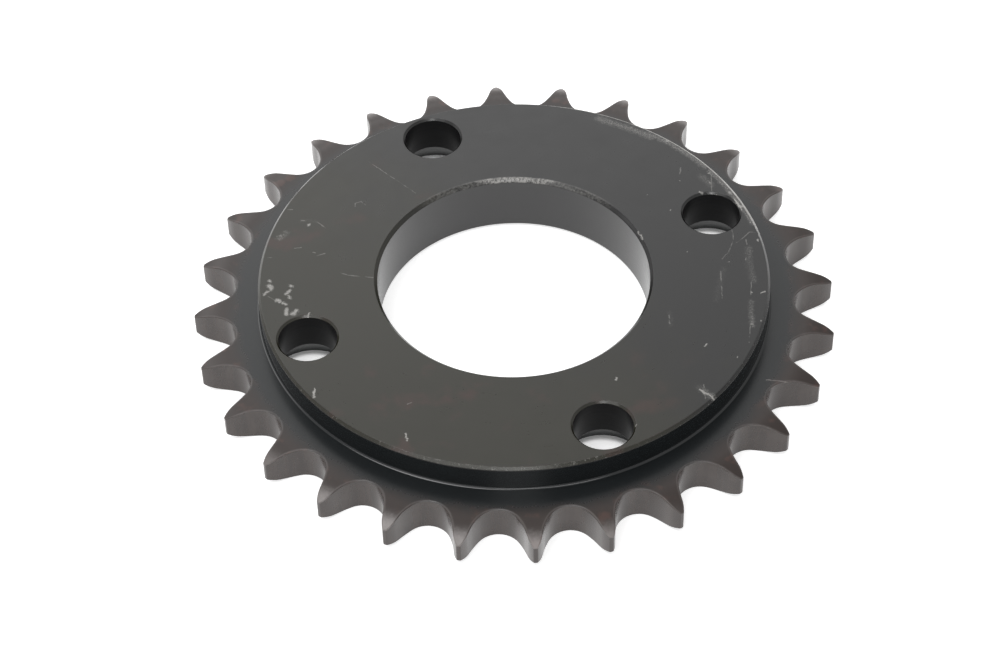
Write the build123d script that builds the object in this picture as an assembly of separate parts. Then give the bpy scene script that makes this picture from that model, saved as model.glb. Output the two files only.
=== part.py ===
from build123d import *
from math import cos, radians, sin, sqrt, tan
import os

# A roller-chain sprocket for chain of 5/8 inch pitch, turned and hobbed from one piece of steel.
# A toothed plate carries a raised round boss on its front. A large bore runs through the middle,
# and four bolt holes pass through the boss, each counterbored from the back.
#
# Origin: on the axis, in the plane of the back face. +Z runs out of the front of the boss.
# The bolt holes lie on the X and Y axes, and a gap between two teeth is centred on +X.
# All sizes are in millimetres and all angles in degrees.

# Chain
CHAIN_PITCH = 15.875
ROLLER_DIAMETER = 10.16

# Teeth
TEETH = 28
TOOTH_WIDTH = 8.7             # thickness of the toothed plate
ROLLER_CLEARANCE = 0.18       # cut away from the tooth form all along, so that the rollers run free
TIP_ALLOWANCE = 0.1           # how far the tips stay inside the largest radius the form allows
SIDE_RELIEF = 1.8             # how far each side of a tooth has fallen back at its tip
SIDE_RELIEF_RADIUS = 14.0     # radius of that side curve, seen in section

# Boss
BOSS_DIAMETER = 119.2
BOSS_HEIGHT = 6.65            # above the front of the toothed plate
BOSS_EDGE_CHAMFER = 0.6
BOSS_FOOT_RADIUS = 0.6

# Bore
BORE_DIAMETER = 63.5
BORE_CHAMFER = 0.8            # at the front and at the back

# Bolt holes
BOLT_COUNT = 4
BOLT_CIRCLE_DIAMETER = 102.0
BOLT_HOLE_DIAMETER = 13.5     # clearance for a 1/2 inch or M12 bolt
BOLT_HOLE_CHAMFER = 0.5
COUNTERBORE_DIAMETER = 20.6
COUNTERBORE_DEPTH = 6.0       # from the back face

# Worked out from the sizes above
HALF_TOOTH = radians(180 / TEETH)
PITCH_RADIUS = CHAIN_PITCH / 2 / sin(HALF_TOOTH)
OUTSIDE_RADIUS = CHAIN_PITCH * (0.6 + 1 / tan(HALF_TOOTH)) / 2 - TIP_ALLOWANCE
BOSS_RADIUS = BOSS_DIAMETER / 2
BORE_RADIUS = BORE_DIAMETER / 2
TOTAL_HEIGHT = TOOTH_WIDTH + BOSS_HEIGHT


def turned_section():
    """Half of the turned blank's section, in the XZ plane: the shape before any tooth is cut."""
    fall = SIDE_RELIEF_RADIUS - SIDE_RELIEF
    relief_start = OUTSIDE_RADIUS - sqrt(SIDE_RELIEF_RADIUS**2 - fall**2)
    foot_start = BOSS_RADIUS + BOSS_FOOT_RADIUS
    with BuildSketch(Plane.XZ) as section:
        with BuildLine():
            back = Polyline(
                (BORE_RADIUS, BORE_CHAMFER),
                (BORE_RADIUS + BORE_CHAMFER, 0),
                (relief_start, 0),
            )
            back_relief = TangentArc(back @ 1, (OUTSIDE_RADIUS, SIDE_RELIEF), tangent=(1, 0))
            tip = Line(back_relief @ 1, (OUTSIDE_RADIUS, TOOTH_WIDTH - SIDE_RELIEF))
            front_relief = TangentArc((relief_start, TOOTH_WIDTH), tip @ 1, tangent=(1, 0))
            plate_front = Line(front_relief @ 0, (foot_start, TOOTH_WIDTH))
            foot = TangentArc(
                plate_front @ 1, (BOSS_RADIUS, TOOTH_WIDTH + BOSS_FOOT_RADIUS), tangent=(-1, 0)
            )
            Polyline(
                foot @ 1,
                (BOSS_RADIUS, TOTAL_HEIGHT - BOSS_EDGE_CHAMFER),
                (BOSS_RADIUS - BOSS_EDGE_CHAMFER, TOTAL_HEIGHT),
                (BORE_RADIUS + BORE_CHAMFER, TOTAL_HEIGHT),
                (BORE_RADIUS, TOTAL_HEIGHT - BORE_CHAMFER),
                back @ 0,
            )
        make_face()
    return section.sketch


def tooth_gap():
    """The gap between two teeth, centred on +X, in the form of ANSI B29.1 for roller chain.

    It is drawn about the centre of the roller that sits in it. A seating arc holds the roller.
    On each side a working arc, a short straight and a topping arc then lead out to where the
    tooth would come to a point, which is beyond the outside diameter.
    """
    d = ROLLER_DIAMETER
    seating_radius = 1.005 * d / 2 + ROLLER_CLEARANCE
    seating_end = 35 + 60 / TEETH
    working_radius = 1.3025 * d + ROLLER_CLEARANCE
    working_angle = 18 - 56 / TEETH
    topping_angle = radians(17 - 64 / TEETH)
    straight_length = d * (1.4 * sin(topping_angle) - 0.8 * sin(radians(working_angle)))
    topping_radius = (
        d * (0.8 * cos(radians(working_angle)) + 1.4 * cos(topping_angle) - 1.3025)
        - ROLLER_CLEARANCE
    )
    point_rise = sqrt(topping_radius**2 - (1.4 * d - CHAIN_PITCH / 2) ** 2)
    point_radius = PITCH_RADIUS * cos(HALF_TOOTH) + point_rise
    along_tooth = Vector(cos(HALF_TOOTH), sin(HALF_TOOTH))
    roller_centre = Vector(PITCH_RADIUS, 0)

    with BuildSketch(Plane.XY.offset(-1)) as gap:
        with BuildLine():
            seating = CenterArc(roller_centre, seating_radius, 180, seating_end - 90)
            working = JernArc(seating @ 1, seating % 1, working_radius, -working_angle)
            straight = PolarLine(working @ 1, straight_length, direction=working % 1)
            topping = TangentArc(straight @ 1, along_tooth * point_radius, tangent=straight % 1)
            clear = Line(topping @ 1, along_tooth * (OUTSIDE_RADIUS + 2))
            Line(clear @ 1, ((clear @ 1).X, 0))
            mirror(about=Plane.XZ)
        make_face()
    return gap.sketch


with BuildPart() as sprocket:
    revolve(turned_section(), axis=Axis.Z)

    with PolarLocations(0, TEETH):
        add(extrude(tooth_gap(), amount=TOTAL_HEIGHT + 2), mode=Mode.SUBTRACT)

    with PolarLocations(BOLT_CIRCLE_DIAMETER / 2, BOLT_COUNT):
        upward = (Align.CENTER, Align.CENTER, Align.MIN)
        Cylinder(BOLT_HOLE_DIAMETER / 2, TOTAL_HEIGHT, align=upward, mode=Mode.SUBTRACT)
        Cylinder(COUNTERBORE_DIAMETER / 2, COUNTERBORE_DEPTH, align=upward, mode=Mode.SUBTRACT)
    front_circles = sprocket.edges().filter_by(GeomType.CIRCLE).group_by(Axis.Z)[-1]
    rims = front_circles.filter_by(lambda edge: abs(edge.radius - BOLT_HOLE_DIAMETER / 2) < 0.01)
    chamfer(rims, BOLT_HOLE_CHAMFER)

sprocket.part.label = "sprocket"

os.makedirs("parts", exist_ok=True)
export_step(sprocket.part, "parts/sprocket.step")
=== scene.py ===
import math

import bmesh
import bpy
import numpy as np
from mathutils import Matrix, Vector


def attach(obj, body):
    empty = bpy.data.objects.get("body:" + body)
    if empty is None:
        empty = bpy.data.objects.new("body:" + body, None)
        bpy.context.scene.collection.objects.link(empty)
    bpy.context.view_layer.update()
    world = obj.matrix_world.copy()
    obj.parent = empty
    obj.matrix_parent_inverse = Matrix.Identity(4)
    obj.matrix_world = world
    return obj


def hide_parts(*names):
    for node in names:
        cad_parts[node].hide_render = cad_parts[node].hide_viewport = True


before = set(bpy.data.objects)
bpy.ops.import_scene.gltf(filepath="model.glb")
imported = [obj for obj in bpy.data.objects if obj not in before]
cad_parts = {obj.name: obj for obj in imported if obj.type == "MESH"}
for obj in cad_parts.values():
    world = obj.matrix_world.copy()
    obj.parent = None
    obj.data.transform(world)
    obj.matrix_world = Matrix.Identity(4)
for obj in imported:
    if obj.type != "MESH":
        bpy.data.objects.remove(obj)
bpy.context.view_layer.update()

# The sprocket's sizes, in millimetres, as the CAD model has them.
PITCH, ROLLER, TEETH, CLEARANCE, TIP_ALLOWANCE = 15.875, 10.16, 28, 0.18, 0.1
TOOTH_WIDTH, RELIEF, RELIEF_RADIUS = 8.7, 1.8, 14.0
BOSS_RADIUS, BOSS_HEIGHT, BOSS_CHAMFER, FOOT_RADIUS = 59.6, 6.65, 0.6, 0.6
BORE_RADIUS, BORE_CHAMFER = 31.75, 0.8
BOLTS, BOLT_CIRCLE_RADIUS, HOLE_RADIUS, HOLE_CHAMFER = 4, 51.0, 6.75, 0.5
COUNTERBORE_RADIUS, COUNTERBORE_DEPTH = 10.3, 6.0
TOTAL = TOOTH_WIDTH + BOSS_HEIGHT
HALF_TOOTH = math.pi / TEETH
PITCH_RADIUS = PITCH / 2 / math.sin(HALF_TOOTH)
TIP_RADIUS = PITCH * (0.6 + 1 / math.tan(HALF_TOOTH)) / 2 - TIP_ALLOWANCE

# How far the edges are broken, in millimetres.
TURNED_EDGE = 0.12      # edges the lathe left
TOOTH_EDGE = 0.3        # edges between a tooth's sides and its flanks
TIP_CORNER = 0.35       # corners of a tooth's tip, seen along the axis
BORE_EDGE = 0.48        # where the bore's front chamfer meets its wall, rounder than the rest
COUNTERBORE_FILLET = 0.3
WEAR_REACH = 0.3        # how far from an edge its wear ends
WEAR_ROOM = 1.6         # the shortest stretch between two edges that shows where their wear ends
WEAR_TAPER = 0.1        # how far the wear reaches near a tooth's tip, for each mm from the tip
# The wear round a bolt hole ends sooner, where the hole comes near the boss's rim.
# Its last ring still crosses the rim's last ring there, by 0.02 mm.
HOLE_WEAR_REACH = WEAR_REACH - 0.07

# How the mesh is divided.
BORE_SEGMENTS, HOLE_SEGMENTS = 480, 120
EDGE_STEPS = (0, 0.33, 0.67, 1)                         # shares of the way round a tooth's edge
FRONT_STEPS = (0.2, 0.38, 0.54, 0.68, 0.8, 0.9, 1)      # shares of the way from the boss to that edge
BACK_STEPS = (0, 0.12, 0.26, 0.42, 0.6, 0.8, 1)         # shares of the way inwards at the back
PLATE_START = BOSS_RADIUS + FOOT_RADIUS + 0.2           # the last ring of the boss's foot
BACK_START = BOLT_CIRCLE_RADIUS + COUNTERBORE_RADIUS + 1        # just outside the counterbores
SLOT_MARGIN = 0.1       # how far past a corner the next material starts at the latest

# The camera, fitted to the photograph.
CAMERA_AZIMUTH = math.radians(-21.655)
CAMERA_ELEVATION = math.radians(46.721)
CAMERA_ROLL = math.radians(-1.383)
CAMERA_DISTANCE = 0.63048
CAMERA_TARGET = (-0.005582, -0.004541, 0.00188)
LENS = 96.595
SENSOR_WIDTH = 36

# The material slots of the mesh.
BOSS, PLATE, FLANK, BORE, HOLE, COUNTERBORE, BACK = range(7)

# How strongly the steel reflects: less on the walls of the bolt holes, and more in the counterbores.
STEEL_IOR, HOLE_IOR, COUNTERBORE_IOR = 1.6, 1.2, 1.8

BEYOND_MARKS = 9.0      # a distance from a mark at which nothing of it shows


# ---------------------------------------------------------------- mesh

def arc(centre, radius, start, end, segments, outward):
    """Points and normals along an arc in the plane, in degrees.

    outward is 1 where the metal is inside the arc, and -1 where it is outside.
    """
    angles = np.radians(np.linspace(start, end, segments + 1))
    turned = np.c_[np.cos(angles), np.sin(angles)]
    return np.asarray(centre) + radius * turned, outward * turned


def half_gap():
    """Points and normals of the outline, from the middle of the gap on +X to the middle of the next tooth.

    The form is that of ANSI B29.1, drawn about the centre of the roller.
    """
    seat = 1.005 * ROLLER / 2 + CLEARANCE
    seat_end = 35 + 60 / TEETH
    work, work_sweep = 1.3025 * ROLLER + CLEARANCE, 18 - 56 / TEETH
    top_angle = math.radians(17 - 64 / TEETH)
    straight = ROLLER * (1.4 * math.sin(top_angle) - 0.8 * math.sin(math.radians(work_sweep)))
    topping = ROLLER * (
        0.8 * math.cos(math.radians(work_sweep)) + 1.4 * math.cos(top_angle) - 1.3025
    ) - CLEARANCE
    leaving = seat_end - work_sweep

    pieces = [arc((0, 0), seat, 180, 90 + seat_end, 7, -1)]
    work_centre = (seat - work) * np.array([math.cos(math.radians(90 + seat_end)),
                                            math.sin(math.radians(90 + seat_end))])
    pieces.append(arc(work_centre, work, 90 + seat_end, 90 + leaving, 5, -1))
    ahead = np.array([math.cos(math.radians(leaving)), math.sin(math.radians(leaving))])
    right = np.array([ahead[1], -ahead[0]])
    top_centre = pieces[-1][0][-1] + straight * ahead - topping * right

    # The corner of the tip is a small circle inside both the topping circle and the tip circle.
    axis = np.array([-PITCH_RADIUS, 0])
    a, b = topping - TIP_CORNER, TIP_RADIUS - TIP_CORNER
    apart = axis - top_centre
    gap = np.hypot(*apart)
    along = (a * a - b * b + gap * gap) / (2 * gap)
    aside = math.sqrt(a * a - along * along)
    unit = apart / gap
    ends = [top_centre + along * unit + s * aside * np.array([-unit[1], unit[0]]) for s in (1, -1)]
    corner = max(ends, key=lambda p: p[0])

    def heading(p, q):
        return math.degrees(math.atan2(*(q - p)[::-1]))

    pieces.append(arc(top_centre, topping, leaving - 90, heading(top_centre, corner), 7, 1))
    pieces.append(arc(corner, TIP_CORNER, heading(top_centre, corner), heading(axis, corner), 3, 1))
    pieces.append(arc(axis, TIP_RADIUS, heading(axis, corner), math.degrees(HALF_TOOTH), 1, 1))
    # Each arc starts where the one before it ends and drops that point, but for the first arc
    # and the topping arc, which starts at the end of the straight.
    kept = [0, 1, 0, 1, 1]
    points = np.vstack([p[k:] for k, (p, _) in zip(kept, pieces)])
    normals = np.vstack([n[k:] for k, (_, n) in zip(kept, pieces)])
    return points + [PITCH_RADIUS, 0], normals


def outline():
    """The whole toothed outline, counter-clockwise: points, normals and the distance along it."""
    points, normals = half_gap()
    points = np.vstack([points[:0:-1] * [1, -1], points[:-1]])
    normals = np.vstack([normals[:0:-1] * [1, -1], normals[:-1]])
    turns = [2 * HALF_TOOTH * k for k in range(TEETH)]
    spins = [np.array([[math.cos(t), math.sin(t)], [-math.sin(t), math.cos(t)]]) for t in turns]
    points = np.vstack([points @ s for s in spins])
    normals = np.vstack([normals @ s for s in spins])
    steps = np.hypot(*np.diff(np.vstack([points, points[:1]]), axis=0).T)
    return points, normals, np.r_[0, np.cumsum(steps)[:-1]]


def rounded(corners, side):
    """A section through (radius, height, edge radius, segments) corners: rows of r, z, normal and wear.

    side is 1 where the metal is on the right of the way, and -1 where it is on the left.
    Wear is 1 along each outside edge and falls to 0 a little way from it.
    """
    rows = []
    places = [np.array(c[:2], float) for c in corners]
    for n, (here, corner) in enumerate(zip(places, corners)):
        if n in (0, len(places) - 1):
            way = places[1] - here if n == 0 else here - places[-2]
            way /= np.hypot(*way)
            rows.append([*here, -side * way[1], side * way[0], 0])
            continue
        way_in, way_out = here - places[n - 1], places[n + 1] - here
        before, after = np.hypot(*way_in), np.hypot(*way_out)
        way_in, way_out = way_in / before, way_out / after
        n_in = side * np.array([-way_in[1], way_in[0]])
        n_out = side * np.array([-way_out[1], way_out[0]])
        radius, segments = corner[2], corner[3]
        bend = np.sign(n_out @ way_in)  # 1 on an outside corner, -1 on an inside one
        centre = here - bend * radius * (n_in + n_out) / (1 + n_in @ n_out)
        if before > WEAR_ROOM:
            rows.append([*(here - (radius + WEAR_REACH) * way_in), *n_in, 0])
        angle = math.acos(np.clip(n_in @ n_out, -1, 1))
        for t in np.linspace(0, 1, segments + 1):
            turned = (math.sin((1 - t) * angle) * n_in + math.sin(t * angle) * n_out) / math.sin(angle)
            rows.append([*(centre + bend * radius * turned), *turned, float(bend > 0)])
        if after > WEAR_ROOM:
            rows.append([*(here + (radius + WEAR_REACH) * way_out), *n_out, 0])
    return np.array(rows)


def side_surface(points, normal_z):
    """Heights and normals of the plate's front (normal_z 1) or back (-1) at points in the plane."""
    radius = np.hypot(*points.T)
    start = TIP_RADIUS - math.sqrt(RELIEF_RADIUS**2 - (RELIEF_RADIUS - RELIEF) ** 2)
    past = np.maximum(radius - start, 0)
    fall = RELIEF_RADIUS - np.sqrt(RELIEF_RADIUS**2 - past**2)
    height = TOOTH_WIDTH - fall if normal_z > 0 else fall
    tilt = past / RELIEF_RADIUS
    normals = np.c_[points / radius[:, None] * tilt[:, None], normal_z * np.sqrt(1 - tilt**2)]
    return height, normals


class Skin:
    """Collects rings of points, and the bands of faces between them, into one mesh."""

    def __init__(self):
        self.points, self.normals, self.along, self.wear = [], [], [], []
        self.faces, self.slots = [], []
        self.count = 0

    def ring(self, points, normals, along, wear=0.0):
        self.points.append(points)
        self.normals.append(normals)
        self.along.append(along)
        self.wear.append(np.full(len(points), wear))
        self.count += len(points)
        return np.arange(self.count - len(points), self.count)

    def join(self, a, b, slot, flip=False):
        """A band of quads between two rings."""
        quads = np.c_[a, b, np.roll(b, -1), np.roll(a, -1)]
        self.faces.append(quads[:, ::-1] if flip else quads)
        self.slots += [slot] * len(quads)

    def lathe(self, rows, angles, along, slots, centre=(0, 0), flip=False):
        """Turns a section about an axis. slots gives a band's material slot by its middle (r, z)."""
        unit = np.c_[np.cos(angles), np.sin(angles)]
        rings = [self.ring(np.c_[unit * r + centre, np.full(len(angles), z)],
                           np.c_[unit * nr, np.full(len(angles), nz)], along, wear)
                 for r, z, nr, nz, wear in rows]
        for n in range(len(rows) - 1):
            self.join(rings[n], rings[n + 1], slots(*(rows[n][:2] + rows[n + 1][:2]) / 2), flip)
        return rings[-1]


def toothed_band(skin):
    """The boss's edge and wall, and the toothed plate: its front, its flanks and its back."""
    plan, plan_normals, along = outline()
    unit = plan / np.hypot(*plan.T)[:, None]
    reach = TURNED_EDGE + WEAR_REACH
    rows = rounded([
        (BOSS_RADIUS - BOSS_CHAMFER - reach, TOTAL, 0, 0),
        (BOSS_RADIUS - BOSS_CHAMFER, TOTAL, TURNED_EDGE, 2),
        (BOSS_RADIUS, TOTAL - BOSS_CHAMFER, TURNED_EDGE, 2),
        (BOSS_RADIUS, TOOTH_WIDTH, FOOT_RADIUS, 7),
        (PLATE_START, TOOTH_WIDTH, 0, 0),
    ], 1)
    last = skin.lathe(rows, np.arctan2(plan[:, 1], plan[:, 0]), along,
                      lambda r, z: BOSS if z > TOTAL - BOSS_CHAMFER - SLOT_MARGIN else PLATE)
    inner = unit * rows[-1][0]
    flat = np.c_[plan_normals, np.zeros(len(plan))]

    def on_side(points, normal_z):
        height, normals = side_surface(points, normal_z)
        return np.c_[points, height], normals

    def edge(normal_z, steps):
        """The broken edge between a side and the flanks: points and normals of a ring for each step."""
        sharp, side = on_side(plan, normal_z)
        cosine = np.sum(side * flat, axis=1, keepdims=True)
        centre = sharp - TOOTH_EDGE * (side + flat) / (1 + cosine)
        angle = np.arccos(np.clip(cosine, -1, 1))
        for t in steps:
            turned = (np.sin((1 - t) * angle) * side + np.sin(t * angle) * flat) / np.sin(angle)
            yield centre + TOOTH_EDGE * turned, turned

    # Towards a tip the wear reaches less far, so that the two edges of a tooth don't meet.
    from_tip = TIP_RADIUS - np.hypot(*plan.T)
    inset = TOOTH_EDGE + np.minimum(WEAR_REACH, WEAR_TAPER * from_tip)
    within = plan - plan_normals * inset[:, None]
    rings = [(*on_side(inner + share * (within - inner), 1), 0, PLATE)
             for share in FRONT_STEPS]
    front, back = list(edge(1, EDGE_STEPS)), list(edge(-1, EDGE_STEPS[::-1]))
    rings += [(*ring, 1, PLATE) for ring in front]
    for (points, normals), down in ((front[-1], WEAR_REACH), (back[0], -WEAR_REACH)):
        rings.append((points - [0, 0, down], normals, 0, FLANK))
    rings += [(*ring, 1, FLANK if n == 0 else BACK) for n, ring in enumerate(back)]
    inner = unit * BACK_START
    rings += [(*on_side(within + share * (inner - within), -1), 0, BACK)
              for share in BACK_STEPS]
    for points, normals, wear, slot in rings:
        ring = skin.ring(points, normals, along, wear)
        skin.join(last, ring, slot)
        last = ring


def bore(skin):
    reach = TURNED_EDGE + WEAR_REACH
    rows = rounded([
        (BORE_RADIUS + BORE_CHAMFER + reach, TOTAL, 0, 0),
        (BORE_RADIUS + BORE_CHAMFER, TOTAL, TURNED_EDGE, 2),
        (BORE_RADIUS, TOTAL - BORE_CHAMFER, BORE_EDGE, 3),
        (BORE_RADIUS, BORE_CHAMFER, TURNED_EDGE, 2),
        (BORE_RADIUS + BORE_CHAMFER, 0, TURNED_EDGE, 2),
        (BORE_RADIUS + BORE_CHAMFER + reach, 0, 0, 0),
    ], -1)

    def slot(r, z):
        if z > TOTAL - BORE_CHAMFER - SLOT_MARGIN:
            return BOSS
        return BORE if z > BORE_CHAMFER - SLOT_MARGIN else BACK

    angles = np.linspace(0, 2 * math.pi, BORE_SEGMENTS, endpoint=False)
    skin.lathe(rows, angles, angles * BORE_RADIUS, slot, flip=True)


def bolt_holes(skin):
    """The bolt holes, each with its counterbore at the back."""
    rows = rounded([
        (HOLE_RADIUS + HOLE_CHAMFER + TURNED_EDGE + HOLE_WEAR_REACH, TOTAL, 0, 0),
        (HOLE_RADIUS + HOLE_CHAMFER, TOTAL, TURNED_EDGE, 2),
        (HOLE_RADIUS, TOTAL - HOLE_CHAMFER, TURNED_EDGE, 2),
        (HOLE_RADIUS, COUNTERBORE_DEPTH, TURNED_EDGE, 2),
        (COUNTERBORE_RADIUS, COUNTERBORE_DEPTH, COUNTERBORE_FILLET, 3),
        (COUNTERBORE_RADIUS, 0, TURNED_EDGE, 2),
        (COUNTERBORE_RADIUS + TURNED_EDGE + WEAR_REACH, 0, 0, 0),
    ], -1)

    def slot(r, z):
        if z > TOTAL - HOLE_CHAMFER - SLOT_MARGIN:
            return BOSS
        if r < HOLE_RADIUS + SLOT_MARGIN:
            return HOLE
        return COUNTERBORE if z > SLOT_MARGIN else BACK

    angles = np.linspace(0, 2 * math.pi, HOLE_SEGMENTS, endpoint=False)
    for k in range(BOLTS):
        turn = 2 * math.pi * k / BOLTS
        centre = BOLT_CIRCLE_RADIUS * np.array([math.cos(turn), math.sin(turn)])
        skin.lathe(rows, angles, angles * HOLE_RADIUS, slot, centre, flip=True)


def sprocket_mesh():
    skin = Skin()
    toothed_band(skin)
    bore(skin)
    bolt_holes(skin)
    mesh = bpy.data.meshes.new("sprocket_body")
    mesh.from_pydata(np.vstack(skin.points) / 1000, [], np.vstack(skin.faces).tolist())
    mesh.polygons.foreach_set("material_index", skin.slots)

    # The flat faces between the rings are filled: the boss's face and the back.
    built = bmesh.new()
    built.from_mesh(mesh)
    for height, slot, way in ((TOTAL, BOSS, 1), (0, BACK, -1)):
        open_edges = [e for e in built.edges
                      if e.is_boundary and abs(e.verts[0].co.z * 1000 - height) < 1e-3]
        made = bmesh.ops.triangle_fill(built, use_beauty=True, edges=open_edges, normal=(0, 0, way))
        for face in made["geom"]:
            if isinstance(face, bmesh.types.BMFace):
                face.material_index = slot
                if face.normal.z * way < 0:
                    face.normal_flip()
    built.to_mesh(mesh)
    built.free()

    mesh.polygons.foreach_set("use_smooth", [True] * len(mesh.polygons))
    mesh.normals_split_custom_set_from_vertices(np.vstack(skin.normals).tolist())
    for name, values in (("along", skin.along), ("wear", skin.wear)):
        layer = mesh.attributes.new(name, "FLOAT", "POINT")
        layer.data.foreach_set("value", np.concatenate(values).astype(np.float32))
    mesh.update()
    return mesh


# ---------------------------------------------------------------- materials

# Marks on the boss's face and on the plate, in millimetres: a width, then the points of the mark.
SCUFFS = (
    (1.0, (-38.2, 34.5)), (1.0, (-53, 20.5)), (1.3, (-53.5, 19), (-53.5, 18)),
    (0.8, (-55.5, 17), (-54.5, 17.5)), (1.1, (-53.5, 14), (-53, 13.5)), (0.9, (-52.5, 12.5), (-52, 12)),
    (1.0, (-52.5, 10.5), (-53, 9)), (1.3, (-51.5, 8.5), (-50.5, 9)), (1.1, (-49, 17)),
    (0.8, (-49.5, 16), (-51, 15)), (0.9, (-50.5, 14), (-50.5, 13.5)), (0.4, (-48.5, 6.5), (-48, 7)),
    (0.5, (-56.5, -3)), (0.9, (52, 27)), (0.6, (53.5, 22.5)), (0.7, (56.5, 12.5)), (0.4, (55, 9.5)),
    (0.6, (51.5, 7.5), (52, 7)), (0.4, (55, 5.5), (56, 4)), (0.8, (58, 4.5)), (1.0, (58.5, -1)),
    (0.5, (58, -6.5)), (0.3, (49, 13)), (0.3, (39.7, 11.6)), (0.3, (42.5, 4.7)), (0.3, (40.2, -9.6)),
    (0.4, (57, -13), (57, -12.5)), (0.35, (32.5, 1.3), (32.4, -1.7)), (0.4, (47.5, -16.5)),
    (0.5, (48, -27.5)), (0.5, (51, -28.5), (50, -28.5)), (0.5, (31, -38.5), (31.5, -38)),
    (0.4, (8, -40), (8.5, -39.5)), (0.4, (36, -44.5)), (0.6, (43.5, -36.5)), (0.4, (46, -36.5)),
    (0.6, (24, -50), (26, -54)), (0.3, (6.5, -54)), (0.5, (-41.5, -38), (-41, -36)),
    (0.45, (-55, -15.5), (-56, -18)),
)
HAZE = (
    (2.6, (40, 41), (46, 34), (49, 30)), (1.8, (49, 31), (52, 26.5), (54.5, 21), (56.5, 15)),
    (1.6, (57, 13), (58, 7), (58.5, 1), (58.5, -7)), (2.4, (54, 12), (55, 9)),
    (1.2, (-39.5, 36.5), (-37.5, 36), (-36, 34.5)), (2.2, (53.5, -14.5), (51.5, -19), (50, -24)),
    (1.8, (45.5, -18), (42.5, -22), (39.5, -26.5)), (1.6, (46.5, -30), (43.5, -37)),
    (1.4, (28, -26), (26.5, -29.5)), (2.0, (-46, 33), (-44, 34)), (1.6, (54, -30), (50, -35)),
    (1.8, (24, -49), (26, -54)),
)
SCRATCHES = (
    (0.3, (-39.5, 36.5), (-37.5, 36), (-36, 34.5), (-35, 32)),
    (0.25, (-26, 36), (-25.5, 37), (-24, 37), (-23.5, 35.5)),
    (0.3, (-37, 16.5), (-35.5, 15), (-30.5, 12)),
    (0.25, (-55, 16), (-54, 14.5), (-52.5, 12.5)),
    (0.2, (-17.5, 49.5), (-11, 34.5)),
    (0.3, (-40, 24), (-38, 24)), (0.3, (-40.5, 25.5), (-40, 25)), (0.25, (-44, 28.5), (-42.5, 28)),
    (0.3, (-41, 41.5), (-40, 41)), (0.3, (-46.5, 34), (-45.5, 33.5)), (0.3, (-51, 28), (-49.5, 27.5)),
    (0.25, (58, -10.5), (56.5, -9.5), (54.5, -10.5), (52, -11.5)),
    (0.25, (53, -7), (52, -10), (49, -13.5), (46.5, -15)),
    (0.3, (57, 12.5), (54, 6)), (0.35, (51, 17), (49.5, 14.5)),
    (0.3, (44.5, -18.5), (41, -26.5)), (0.25, (49.5, -24.5), (46.5, -30)),
    (0.3, (54.5, -11.5), (54, -13)), (0.3, (52.5, -15.5), (51.5, -17.5)),
    (0.3, (27.5, -26.5), (26.5, -29)), (0.3, (25.5, -49), (24, -53)), (0.25, (43, -37), (40.5, -41.5)),
    (0.3, (-36.5, -28), (-37.5, -28)),
)
PLATE_SCRATCHES = ((0.35, (42, -48), (44, -49.2), (46, -50.5)),)


class Nodes:
    """A node tree, and short ways to add to it."""

    def __init__(self, tree):
        self.tree = tree

    def add(self, kind, *inputs, **settings):
        node = self.tree.nodes.new(kind)
        for name, value in settings.items():
            setattr(node, name, value)
        for socket, value in zip(node.inputs, inputs):
            self.feed(socket, value)
        return node

    def feed(self, socket, value):
        if isinstance(value, bpy.types.NodeSocket):
            self.tree.links.new(value, socket)
        else:
            socket.default_value = value

    def math(self, operation, *values):
        return self.add("ShaderNodeMath", *values, operation=operation).outputs[0]

    def vector(self, operation, *values, scale=None):
        node = self.add("ShaderNodeVectorMath", *values, operation=operation)
        if scale is not None:
            self.feed(node.inputs["Scale"], scale)
        return node.outputs[1 if operation in ("DISTANCE", "DOT_PRODUCT", "LENGTH") else 0]

    def joined(self, x, y, z=0.0):
        return self.add("ShaderNodeCombineXYZ", x, y, z).outputs[0]

    def noise(self, place, scale, detail=2.0, roughness=0.5, output=0):
        node = self.add("ShaderNodeTexNoise")
        names = ("Vector", "Scale", "Detail", "Roughness")
        for name, value in zip(names, (place, scale, detail, roughness)):
            self.feed(node.inputs[name], value)
        return node.outputs[output]

    def ramp(self, value, low, high, to_low=0.0, to_high=1.0, kind="SMOOTHSTEP"):
        """From to_low at low to to_high at high, and level beyond them."""
        inputs = (value, low, high, to_low, to_high)
        return self.add("ShaderNodeMapRange", *inputs, interpolation_type=kind).outputs[0]

    def mix(self, factor, a, b):
        node = self.add("ShaderNodeMix", factor, data_type="RGBA", clamp_factor=True)
        for socket, colour in ((6, a), (7, b)):
            self.feed(node.inputs[socket], (*colour, 1) if isinstance(colour, tuple) else colour)
        return node.outputs[2]

    def bump(self, height, depth):
        """A normal bent by a height from 0 to 1, which stands for a depth in millimetres."""
        node = self.add("ShaderNodeBump")
        self.feed(node.inputs["Distance"], depth / 1000)
        self.feed(node.inputs["Height"], height)
        return node.outputs[0]

    def attribute(self, name):
        return self.add("ShaderNodeAttribute", attribute_name=name).outputs["Fac"]


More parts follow.
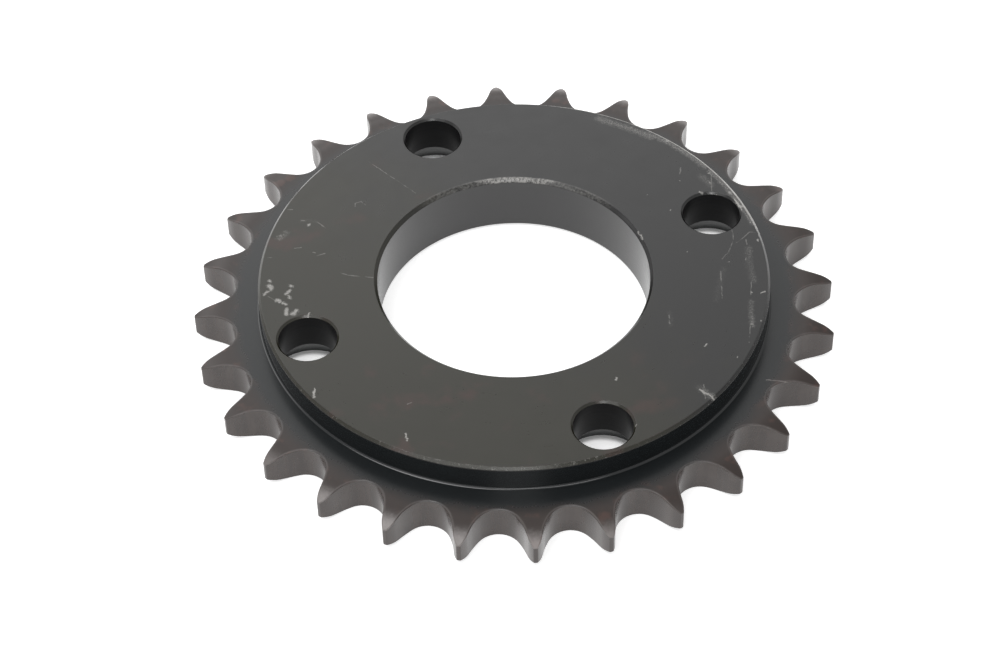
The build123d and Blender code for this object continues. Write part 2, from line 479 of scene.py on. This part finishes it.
class Finish(Nodes):
    """A material and the nodes that it is built from. Lengths are in millimetres."""

    def __init__(self, name, **constants):
        self.material = bpy.data.materials.new(name)
        self.material.use_nodes = True
        super().__init__(self.material.node_tree)
        self.shader = self.tree.nodes["Principled BSDF"]
        self.set(**constants)
        place = self.add("ShaderNodeTexCoord").outputs["Object"]
        self.place = self.vector("SCALE", place, scale=1000)
        self.plan = self.vector("MULTIPLY", self.place, (1, 1, 0))
        self.x, self.y, self.z = self.add("ShaderNodeSeparateXYZ", self.place).outputs
        self.radius = self.vector("LENGTH", self.plan)
        self.angle = self.math("ARCTAN2", self.y, self.x)

    def set(self, **sockets):
        for name, value in sockets.items():
            self.feed(self.shader.inputs[name.replace("_", " ")], value)
        return self.material

    def towards(self, angle):
        """How far a point lies towards an angle in degrees, as a share of the boss's radius."""
        turn = math.radians(angle)
        way = [math.cos(turn) / BOSS_RADIUS, math.sin(turn) / BOSS_RADIUS, 0]
        return self.vector("DOT_PRODUCT", self.plan, way)

    def tool_lines(self, across, fineness, along, drift, detail=3.0):
        """Noise that changes fast across the lines a tool left, and slowly along them."""
        place = self.joined(self.math("MULTIPLY", across, fineness), self.math("MULTIPLY", along, drift))
        return self.noise(place, 1.0, detail)

    def marks(self, places, scatter, speckle, weight, outer, inner):
        """1 within the marks and 0 outside them. Speckle breaks up their edges."""
        distance = self.math("MULTIPLY_ADD", speckle, weight, self.nearest(places, scatter))
        return self.ramp(distance, outer, inner)

    def nearest(self, places, scatter):
        """The distance to the nearest mark, in half widths of that mark. Scatter makes them ragged."""
        ragged = self.scattered(scatter)
        least = BEYOND_MARKS
        for width, *points in places:
            for start, end in zip(points, points[1:] or points):
                least = self.math("MINIMUM", least, self.beside(ragged, start, end, 2 / width))
        return least

    def scattered(self, scatter):
        """Places in the plane, each shifted a little by noise."""
        colour = self.noise(self.plan, 1.1, 3.0, 0.6, "Color")
        shift = self.vector("SUBTRACT", colour, (0.5, 0.5, 0.5))
        return self.vector("MULTIPLY_ADD", shift, (scatter, scatter, 0), self.plan)

    def beside(self, place, start, end, scale):
        """The distance, times scale, from a place to the stretch from start to end."""
        way = Vector(end) - Vector(start)
        if not way.length:
            return self.math("MULTIPLY", self.vector("DISTANCE", place, (*start, 0)), scale)
        unit = (*way.normalized(), 0)
        offset = self.vector("SUBTRACT", place, (*start, 0))
        along = self.vector("DOT_PRODUCT", offset, unit)
        share = self.add("ShaderNodeClamp", along, 0, way.length).outputs[0]
        foot = self.vector("SCALE", unit, scale=share)
        return self.math("MULTIPLY", self.vector("DISTANCE", offset, foot), scale)


def boss_face():
    f = Finish("boss_face", IOR=STEEL_IOR)
    rings = f.tool_lines(f.radius, 2.6, f.angle, 1.2)
    clouds = f.noise(f.place, 0.06, 3.0)
    grain = f.noise(f.place, 2.4, 2.0, 0.6)
    speckle = f.noise(f.place, 1.6, 3.0, 0.7)
    fine = f.ramp(f.noise(f.place, 3.0, 4.0, 0.7), 0.35, 0.7)

    # Black oxide, olive towards 200 degrees and with patches of rust there.
    olive = f.ramp(f.math("MULTIPLY_ADD", clouds, 0.8, f.towards(200)), 0.0, 0.9)
    colour = f.mix(olive, (0.010, 0.010, 0.010), (0.017, 0.016, 0.009))
    rust = f.math("MULTIPLY", f.ramp(f.noise(f.place, 0.11, 3.0), 0.56, 0.72), olive)
    colour = f.mix(rust, colour, (0.034, 0.018, 0.013))

    # Bare metal where the rim was knocked, most of all towards 25 degrees. Towards 245 degrees, where the
    # rim faces the camera, the bright colour is a painted highlight.
    rim = f.math("MULTIPLY", f.attribute("wear"), f.ramp(f.radius, 57.5, 58.2))
    knocked_behind = f.ramp(f.towards(25), 0.72, 0.9)
    # A painted highlight along the front of the rim, drawn in the colour of bare metal.
    sheen_in_front = f.math("MULTIPLY", f.ramp(f.towards(245), 0.88, 0.96), 0.12)
    knocked_and_sheen = f.math("MAXIMUM", knocked_behind, sheen_in_front)
    # bare: the rim's wear, with the painted highlight in front.
    bare = f.math("MULTIPLY", rim, f.math("MULTIPLY_ADD", knocked_and_sheen, 0.4, 0.37))
    bare = f.ramp(f.math("MULTIPLY_ADD", speckle, 0.8, bare), 0.85, 1.15)

    # A painted highlight on the bore's front edge towards 66 degrees, where the edge faces back at the
    # camera, speckled like wear.
    middle, faint = f.ramp(f.towards(66), 0.512, 0.53), f.ramp(f.towards(66), 0.36, 0.45, 0, 0.3)
    bore_edge_sheen = f.math("MULTIPLY", f.math("MAXIMUM", middle, faint), f.ramp(f.radius, 33.0, 32.6))
    # bare also takes this painted highlight.
    bare = f.math("MAXIMUM", bare, f.math("MULTIPLY", bore_edge_sheen, f.ramp(speckle, 0.25, 0.75)))

    scuffed = f.marks(SCUFFS, 1.3, speckle, 1.6, 2.2, 1.0)
    scuffed = f.math("MULTIPLY", scuffed, f.math("MULTIPLY_ADD", fine, 0.5, 0.5))
    broken = f.ramp(f.noise(f.place, 0.6, 2.0), 0.35, 0.6)
    scratched = f.math("MULTIPLY", f.marks(SCRATCHES, 0.5, speckle, 1.2, 1.9, 0.9), 0.3)
    scratched = f.math("MULTIPLY", scratched, broken)
    hazy = f.math("MULTIPLY", f.marks(HAZE, 2.0, speckle, 1.2, 1.9, 0.6), fine)
    hazy = f.math("MULTIPLY", hazy, f.ramp(f.radius, 54, 58, 0.07, 0.6))
    # The marks and wear, together with the painted highlights, in one mask.
    marks_and_sheen = f.math("MAXIMUM", scuffed, bare)
    marks_and_sheen = f.math("MAXIMUM", f.math("ADD", scratched, hazy), marks_and_sheen)
    colour = f.mix(marks_and_sheen, colour, (0.40, 0.39, 0.37))

    rough = f.math("MULTIPLY_ADD", rings, 0.12, f.math("MULTIPLY_ADD", grain, 0.06, 0.23))
    patches = f.noise(f.place, 0.22, 4.0, 0.6)
    rough = f.math("MULTIPLY_ADD", patches, 0.16, f.math("SUBTRACT", rough, 0.08))
    # The chamfers are smoother than the flat face.
    rough = f.math("ADD", rough, f.ramp(f.z, TOTAL - 0.15, TOTAL - 0.05, -0.1, 0))
    rough = f.math("MULTIPLY_ADD", marks_and_sheen, 0.15, rough)
    return f.set(Base_Color=colour, Roughness=rough, Normal=f.bump(f.math("ADD", rings, grain), 0.002))


def plate_face():
    f = Finish("plate_face", IOR=STEEL_IOR)
    rings = f.tool_lines(f.radius, 2.2, f.angle, 1.2)
    clouds = f.noise(f.place, 0.16, 4.0, 0.6)
    grain = f.noise(f.place, 2.0, 2.0, 0.6)
    speckle = f.noise(f.place, 1.1, 3.0, 0.7)

    # Black near the boss and brown towards the teeth, with patches of rust.
    brown = f.ramp(f.math("MULTIPLY_ADD", clouds, 4.0, f.radius), 65.5, 70.5)
    colour = f.mix(brown, (0.008, 0.010, 0.011), (0.020, 0.011, 0.008))
    rust = f.math("MULTIPLY", brown, f.ramp(f.noise(f.place, 0.25, 3.0), 0.55, 0.7))
    colour = f.mix(rust, colour, (0.050, 0.024, 0.018))
    edges = f.math("MULTIPLY", f.attribute("wear"), 0.28)
    bare = f.ramp(f.math("MULTIPLY_ADD", speckle, 0.8, edges), 0.85, 1.15)

    # A painted highlight on the tips at the front and at the back, where they catch the light; the tips at
    # the sides get none.
    tip_sheen = f.math("MAXIMUM", f.ramp(f.towards(233), 0.85, 1.17), f.ramp(f.towards(63), 0.4, 1.1))
    near_tip = f.ramp(f.math("MULTIPLY_ADD", speckle, 2.4, f.radius), 71.5, 76.0)
    tip_sheen = f.math("MULTIPLY", tip_sheen, near_tip)
    scratched = f.marks(PLATE_SCRATCHES, 0.5, speckle, 1.2, 1.9, 0.9)
    # The scratch, the edge wear and the painted highlight on the tips, in one mask.
    marks_and_sheen = f.math("MAXIMUM", f.math("MULTIPLY", scratched, 0.4), f.math("MULTIPLY", bare, 0.6))
    # The painted highlight on the tips is mixed in with the marks.
    marks_and_sheen = f.math("MAXIMUM", marks_and_sheen, f.math("MULTIPLY", tip_sheen, 0.55))
    marks_and_sheen = f.math("MAXIMUM", marks_and_sheen, f.math("MULTIPLY", f.attribute("wear"), 0.12))
    colour = f.mix(marks_and_sheen, colour, (0.34, 0.31, 0.30))

    rough = f.math("MULTIPLY_ADD", brown, 0.14, f.math("MULTIPLY_ADD", grain, 0.06, 0.21))
    # The fillet at the boss's foot and the boss's wall are smoother than the flat plate.
    rough = f.math("ADD", rough, f.ramp(f.radius, 60.1, 60.5, -0.12, 0))
    return f.set(Base_Color=colour, Roughness=rough, Normal=f.bump(f.math("ADD", rings, grain), 0.0015))


def tooth_flank():
    f = Finish("tooth_flank", IOR=STEEL_IOR)
    place = f.joined(f.attribute("along"), f.math("MULTIPLY", f.z, 0.08))
    streaks = f.noise(place, 0.45, 3.0, 0.55)
    clouds = f.noise(f.place, 0.3, 3.0)
    light = f.ramp(f.math("MULTIPLY_ADD", clouds, 0.6, streaks), 0.55, 1.05)
    colour = f.mix(light, (0.026, 0.015, 0.012), (0.048, 0.033, 0.027))
    rough = f.math("MULTIPLY_ADD", streaks, 0.16, 0.15)
    return f.set(Base_Color=colour, Roughness=rough, Normal=f.bump(streaks, 0.006))


def bore_wall():
    f = Finish("bore_wall", IOR=STEEL_IOR)
    lines = f.tool_lines(f.z, 5.0, f.angle, 1.5)
    clouds = f.noise(f.place, 0.12, 3.0)
    colour = f.mix(clouds, (0.012, 0.012, 0.014), (0.022, 0.021, 0.020))
    rough = f.math("MULTIPLY_ADD", lines, 0.12, 0.18)
    return f.set(Base_Color=colour, Roughness=rough, Normal=f.bump(lines, 0.0015))


def bolt_hole_wall():
    f = Finish("bolt_hole_wall", IOR=HOLE_IOR)
    lines = f.tool_lines(f.z, 1.6, f.attribute("along"), 0.05, 4.0)
    colour = f.mix(lines, (0.004, 0.004, 0.004), (0.014, 0.014, 0.015))
    rough = f.math("MULTIPLY_ADD", lines, 0.2, 0.25)
    return f.set(Base_Color=colour, Roughness=rough, Normal=f.bump(lines, 0.02))


def counterbore_wall():
    f = Finish("counterbore_wall", IOR=COUNTERBORE_IOR)
    lines = f.tool_lines(f.z, 2.0, f.attribute("along"), 0.05)
    colour = f.mix(lines, (0.030, 0.033, 0.033), (0.050, 0.055, 0.055))
    rough = f.math("MULTIPLY_ADD", lines, 0.15, 0.15)
    return f.set(Base_Color=colour, Roughness=rough, Normal=f.bump(lines, 0.004))


def back_face():
    f = Finish("back_face", IOR=STEEL_IOR)
    rings = f.tool_lines(f.radius, 2.6, f.angle, 1.2)
    clouds = f.noise(f.place, 0.08, 4.0)
    grain = f.noise(f.place, 2.4, 2.0, 0.6)
    speckle = f.noise(f.place, 1.1, 3.0, 0.7)
    colour = f.mix(clouds, (0.012, 0.013, 0.014), (0.024, 0.020, 0.017))
    edges = f.math("MULTIPLY", f.attribute("wear"), 0.4)
    bare = f.ramp(f.math("MULTIPLY_ADD", speckle, 0.8, edges), 0.8, 1.1)
    colour = f.mix(f.math("MULTIPLY", bare, 0.6), colour, (0.36, 0.35, 0.34))
    rough = f.math("MULTIPLY_ADD", rings, 0.12, f.math("MULTIPLY_ADD", grain, 0.06, 0.26))
    return f.set(Base_Color=colour, Roughness=rough, Normal=f.bump(f.math("ADD", rings, grain), 0.002))


# ---------------------------------------------------------------- build

# In the order of the material slots.
FINISHES = (boss_face, plate_face, tooth_flank, bore_wall, bolt_hole_wall, counterbore_wall, back_face)

body = bpy.data.objects.new("sprocket_body", sprocket_mesh())
bpy.context.scene.collection.objects.link(body)
for make in FINISHES:
    body.data.materials.append(make())
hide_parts("sprocket")
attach(body, "root")


# ---------------------------------------------------------------- studio

UP = Vector((0, 0, 1))
RIGHT = Vector((math.cos(CAMERA_AZIMUTH), math.sin(CAMERA_AZIMUTH), 0))
AWAY = Vector((-math.sin(CAMERA_AZIMUTH), math.cos(CAMERA_AZIMUTH), 0))

# The floor glows only for rays of the camera, of gloss and of glass, so it looks white and doesn't
# light the object.
FLOOR_SIZE = 8
FLOOR_COLOUR = 0.88
GLOW = 0.6
# Seen through a bolt hole it is in shade. Distances from the hole's axis, in millimetres.
SHADE_GLOW = 0.1
SHADE_FROM, SHADE_FULL = 8.4, 9.8
SHADE_END = 0.5                 # beyond the counterbore's wall

# The world is grey to the object, from the camera's left to its right, and white to the camera.
LEFT_LEVEL, RIGHT_LEVEL, SIDES = 0.5, 0.42, 0.8
GLOSS_LEVEL = 0.12              # added in reflections
# A bright band stands behind the object, to its left. Its heights are those of a unit sphere.
BAND_LEVEL, BAND_SIDE, BAND_REACH = 1.9, 121, (0.42, 0.72)
BAND_FOOT, BAND_HEAD = (0.35, 0.5), (0.62, 0.78)


def direction(side, elevation):
    """A unit vector: side is degrees from the camera's right, counter-clockwise seen from above."""
    a, e = math.radians(side), math.radians(elevation)
    return math.cos(e) * (math.cos(a) * RIGHT + math.sin(a) * AWAY) + math.sin(e) * UP


def softbox(name, side, elevation, distance, width, height, radiance):
    light = bpy.data.objects.new(name, bpy.data.lights.new(name, "AREA"))
    light.data.shape = "RECTANGLE"
    light.data.size, light.data.size_y = width, height
    light.data.energy = radiance * width * height * math.pi
    towards = direction(side, elevation)
    light.location = distance * towards
    light.rotation_euler = towards.to_track_quat("Z", "Y").to_euler()
    light.visible_camera = False
    bpy.context.scene.collection.objects.link(light)


def seen_rays(nodes):
    """1 for the rays of the camera, of gloss and of glass, and 0 for the rest."""
    rays = nodes.add("ShaderNodeLightPath").outputs
    seen = nodes.math("MAXIMUM", rays["Is Camera Ray"], rays["Is Glossy Ray"])
    return nodes.math("MAXIMUM", seen, rays["Is Transmission Ray"])


def glow_under_holes(nodes):
    """The floor's glow, which fades out under the edge of each bolt hole's counterbore."""
    place = nodes.vector("ABSOLUTE", nodes.add("ShaderNodeTexCoord").outputs["Object"])
    axes = ((BOLT_CIRCLE_RADIUS / 1000, 0, 0), (0, BOLT_CIRCLE_RADIUS / 1000, 0))
    away = nodes.math("MINIMUM", *(nodes.vector("DISTANCE", place, axis) for axis in axes))
    within = nodes.ramp(away, SHADE_FROM / 1000, SHADE_FULL / 1000, GLOW, SHADE_GLOW)
    wall, end = COUNTERBORE_RADIUS / 1000, (COUNTERBORE_RADIUS + SHADE_END) / 1000
    outside = nodes.ramp(away, wall, end, 0, GLOW, "LINEAR")
    return nodes.math("MAXIMUM", within, outside)


def white_floor():
    bpy.ops.mesh.primitive_plane_add(size=FLOOR_SIZE, location=(0, 0, 0))
    floor = bpy.context.object
    floor.name = "floor"
    material = bpy.data.materials.new("floor_white")
    material.use_nodes = True
    nodes = Nodes(material.node_tree)
    plain = nodes.tree.nodes["Principled BSDF"]
    plain.inputs["Base Color"].default_value = (FLOOR_COLOUR, FLOOR_COLOUR, FLOOR_COLOUR, 1)
    plain.inputs["Roughness"].default_value = 1
    plain.inputs["Specular IOR Level"].default_value = 0
    glow = nodes.add("ShaderNodeEmission")
    strength = nodes.math("MULTIPLY", seen_rays(nodes), glow_under_holes(nodes))
    nodes.feed(glow.inputs["Strength"], strength)
    both = nodes.add("ShaderNodeAddShader", plain.outputs[0], glow.outputs[0])
    nodes.feed(nodes.tree.nodes["Material Output"].inputs["Surface"], both.outputs[0])
    floor.data.materials.append(material)
    return floor


def studio_world():
    world = bpy.data.worlds.new("studio")
    world.use_nodes = True
    nodes = Nodes(world.node_tree)
    way = nodes.add("ShaderNodeTexCoord").outputs["Generated"]
    height = nodes.vector("DOT_PRODUCT", way, UP)
    band = nodes.math("MULTIPLY", nodes.ramp(height, *BAND_FOOT), nodes.ramp(height, *BAND_HEAD, 1, 0))
    beside = nodes.vector("DOT_PRODUCT", way, direction(BAND_SIDE, 0))
    behind = nodes.math("MULTIPLY", nodes.ramp(beside, *BAND_REACH, 0, BAND_LEVEL), band)
    across = nodes.vector("DOT_PRODUCT", way, RIGHT)
    level = nodes.math("ADD", behind, nodes.ramp(across, -SIDES, SIDES, LEFT_LEVEL, RIGHT_LEVEL))
    rays = nodes.add("ShaderNodeLightPath").outputs
    level = nodes.math("ADD", level, nodes.math("MULTIPLY", rays["Is Glossy Ray"], GLOSS_LEVEL))
    level = nodes.math("MAXIMUM", level, rays["Is Camera Ray"])
    background = nodes.tree.nodes["Background"]
    background.inputs["Color"].default_value = (1, 1, 1, 1)
    nodes.feed(background.inputs["Strength"], level)
    return world


def photo_camera():
    camera = bpy.data.objects.new("camera", bpy.data.cameras.new("camera"))
    bpy.context.scene.collection.objects.link(camera)
    camera.data.sensor_width = SENSOR_WIDTH
    camera.data.lens = LENS
    back = direction(270, math.degrees(CAMERA_ELEVATION))
    aim = (-back).to_track_quat("-Z", "Y").to_matrix().to_4x4()
    aim = aim @ Matrix.Rotation(CAMERA_ROLL, 4, "Z")
    camera.matrix_world = Matrix.Translation(Vector(CAMERA_TARGET) + CAMERA_DISTANCE * back) @ aim
    return camera


# Sides and elevations in degrees, lengths in metres.
softbox("softbox_above", 200, 71, distance=0.95, width=0.46, height=0.46, radiance=4.3)
softbox("softbox_front", 270, 47, distance=1.0, width=0.24, height=0.2, radiance=4.5)
softbox("softbox_wide", 250, 40, distance=1.05, width=1.0, height=0.3, radiance=1.2)
softbox("softbox_right", 300, 62, distance=0.95, width=0.24, height=0.24, radiance=3.5)

floor = white_floor()

bpy.context.scene.world = studio_world()
bpy.context.scene.camera = photo_camera()
bpy.context.scene.view_settings.view_transform = "Standard"
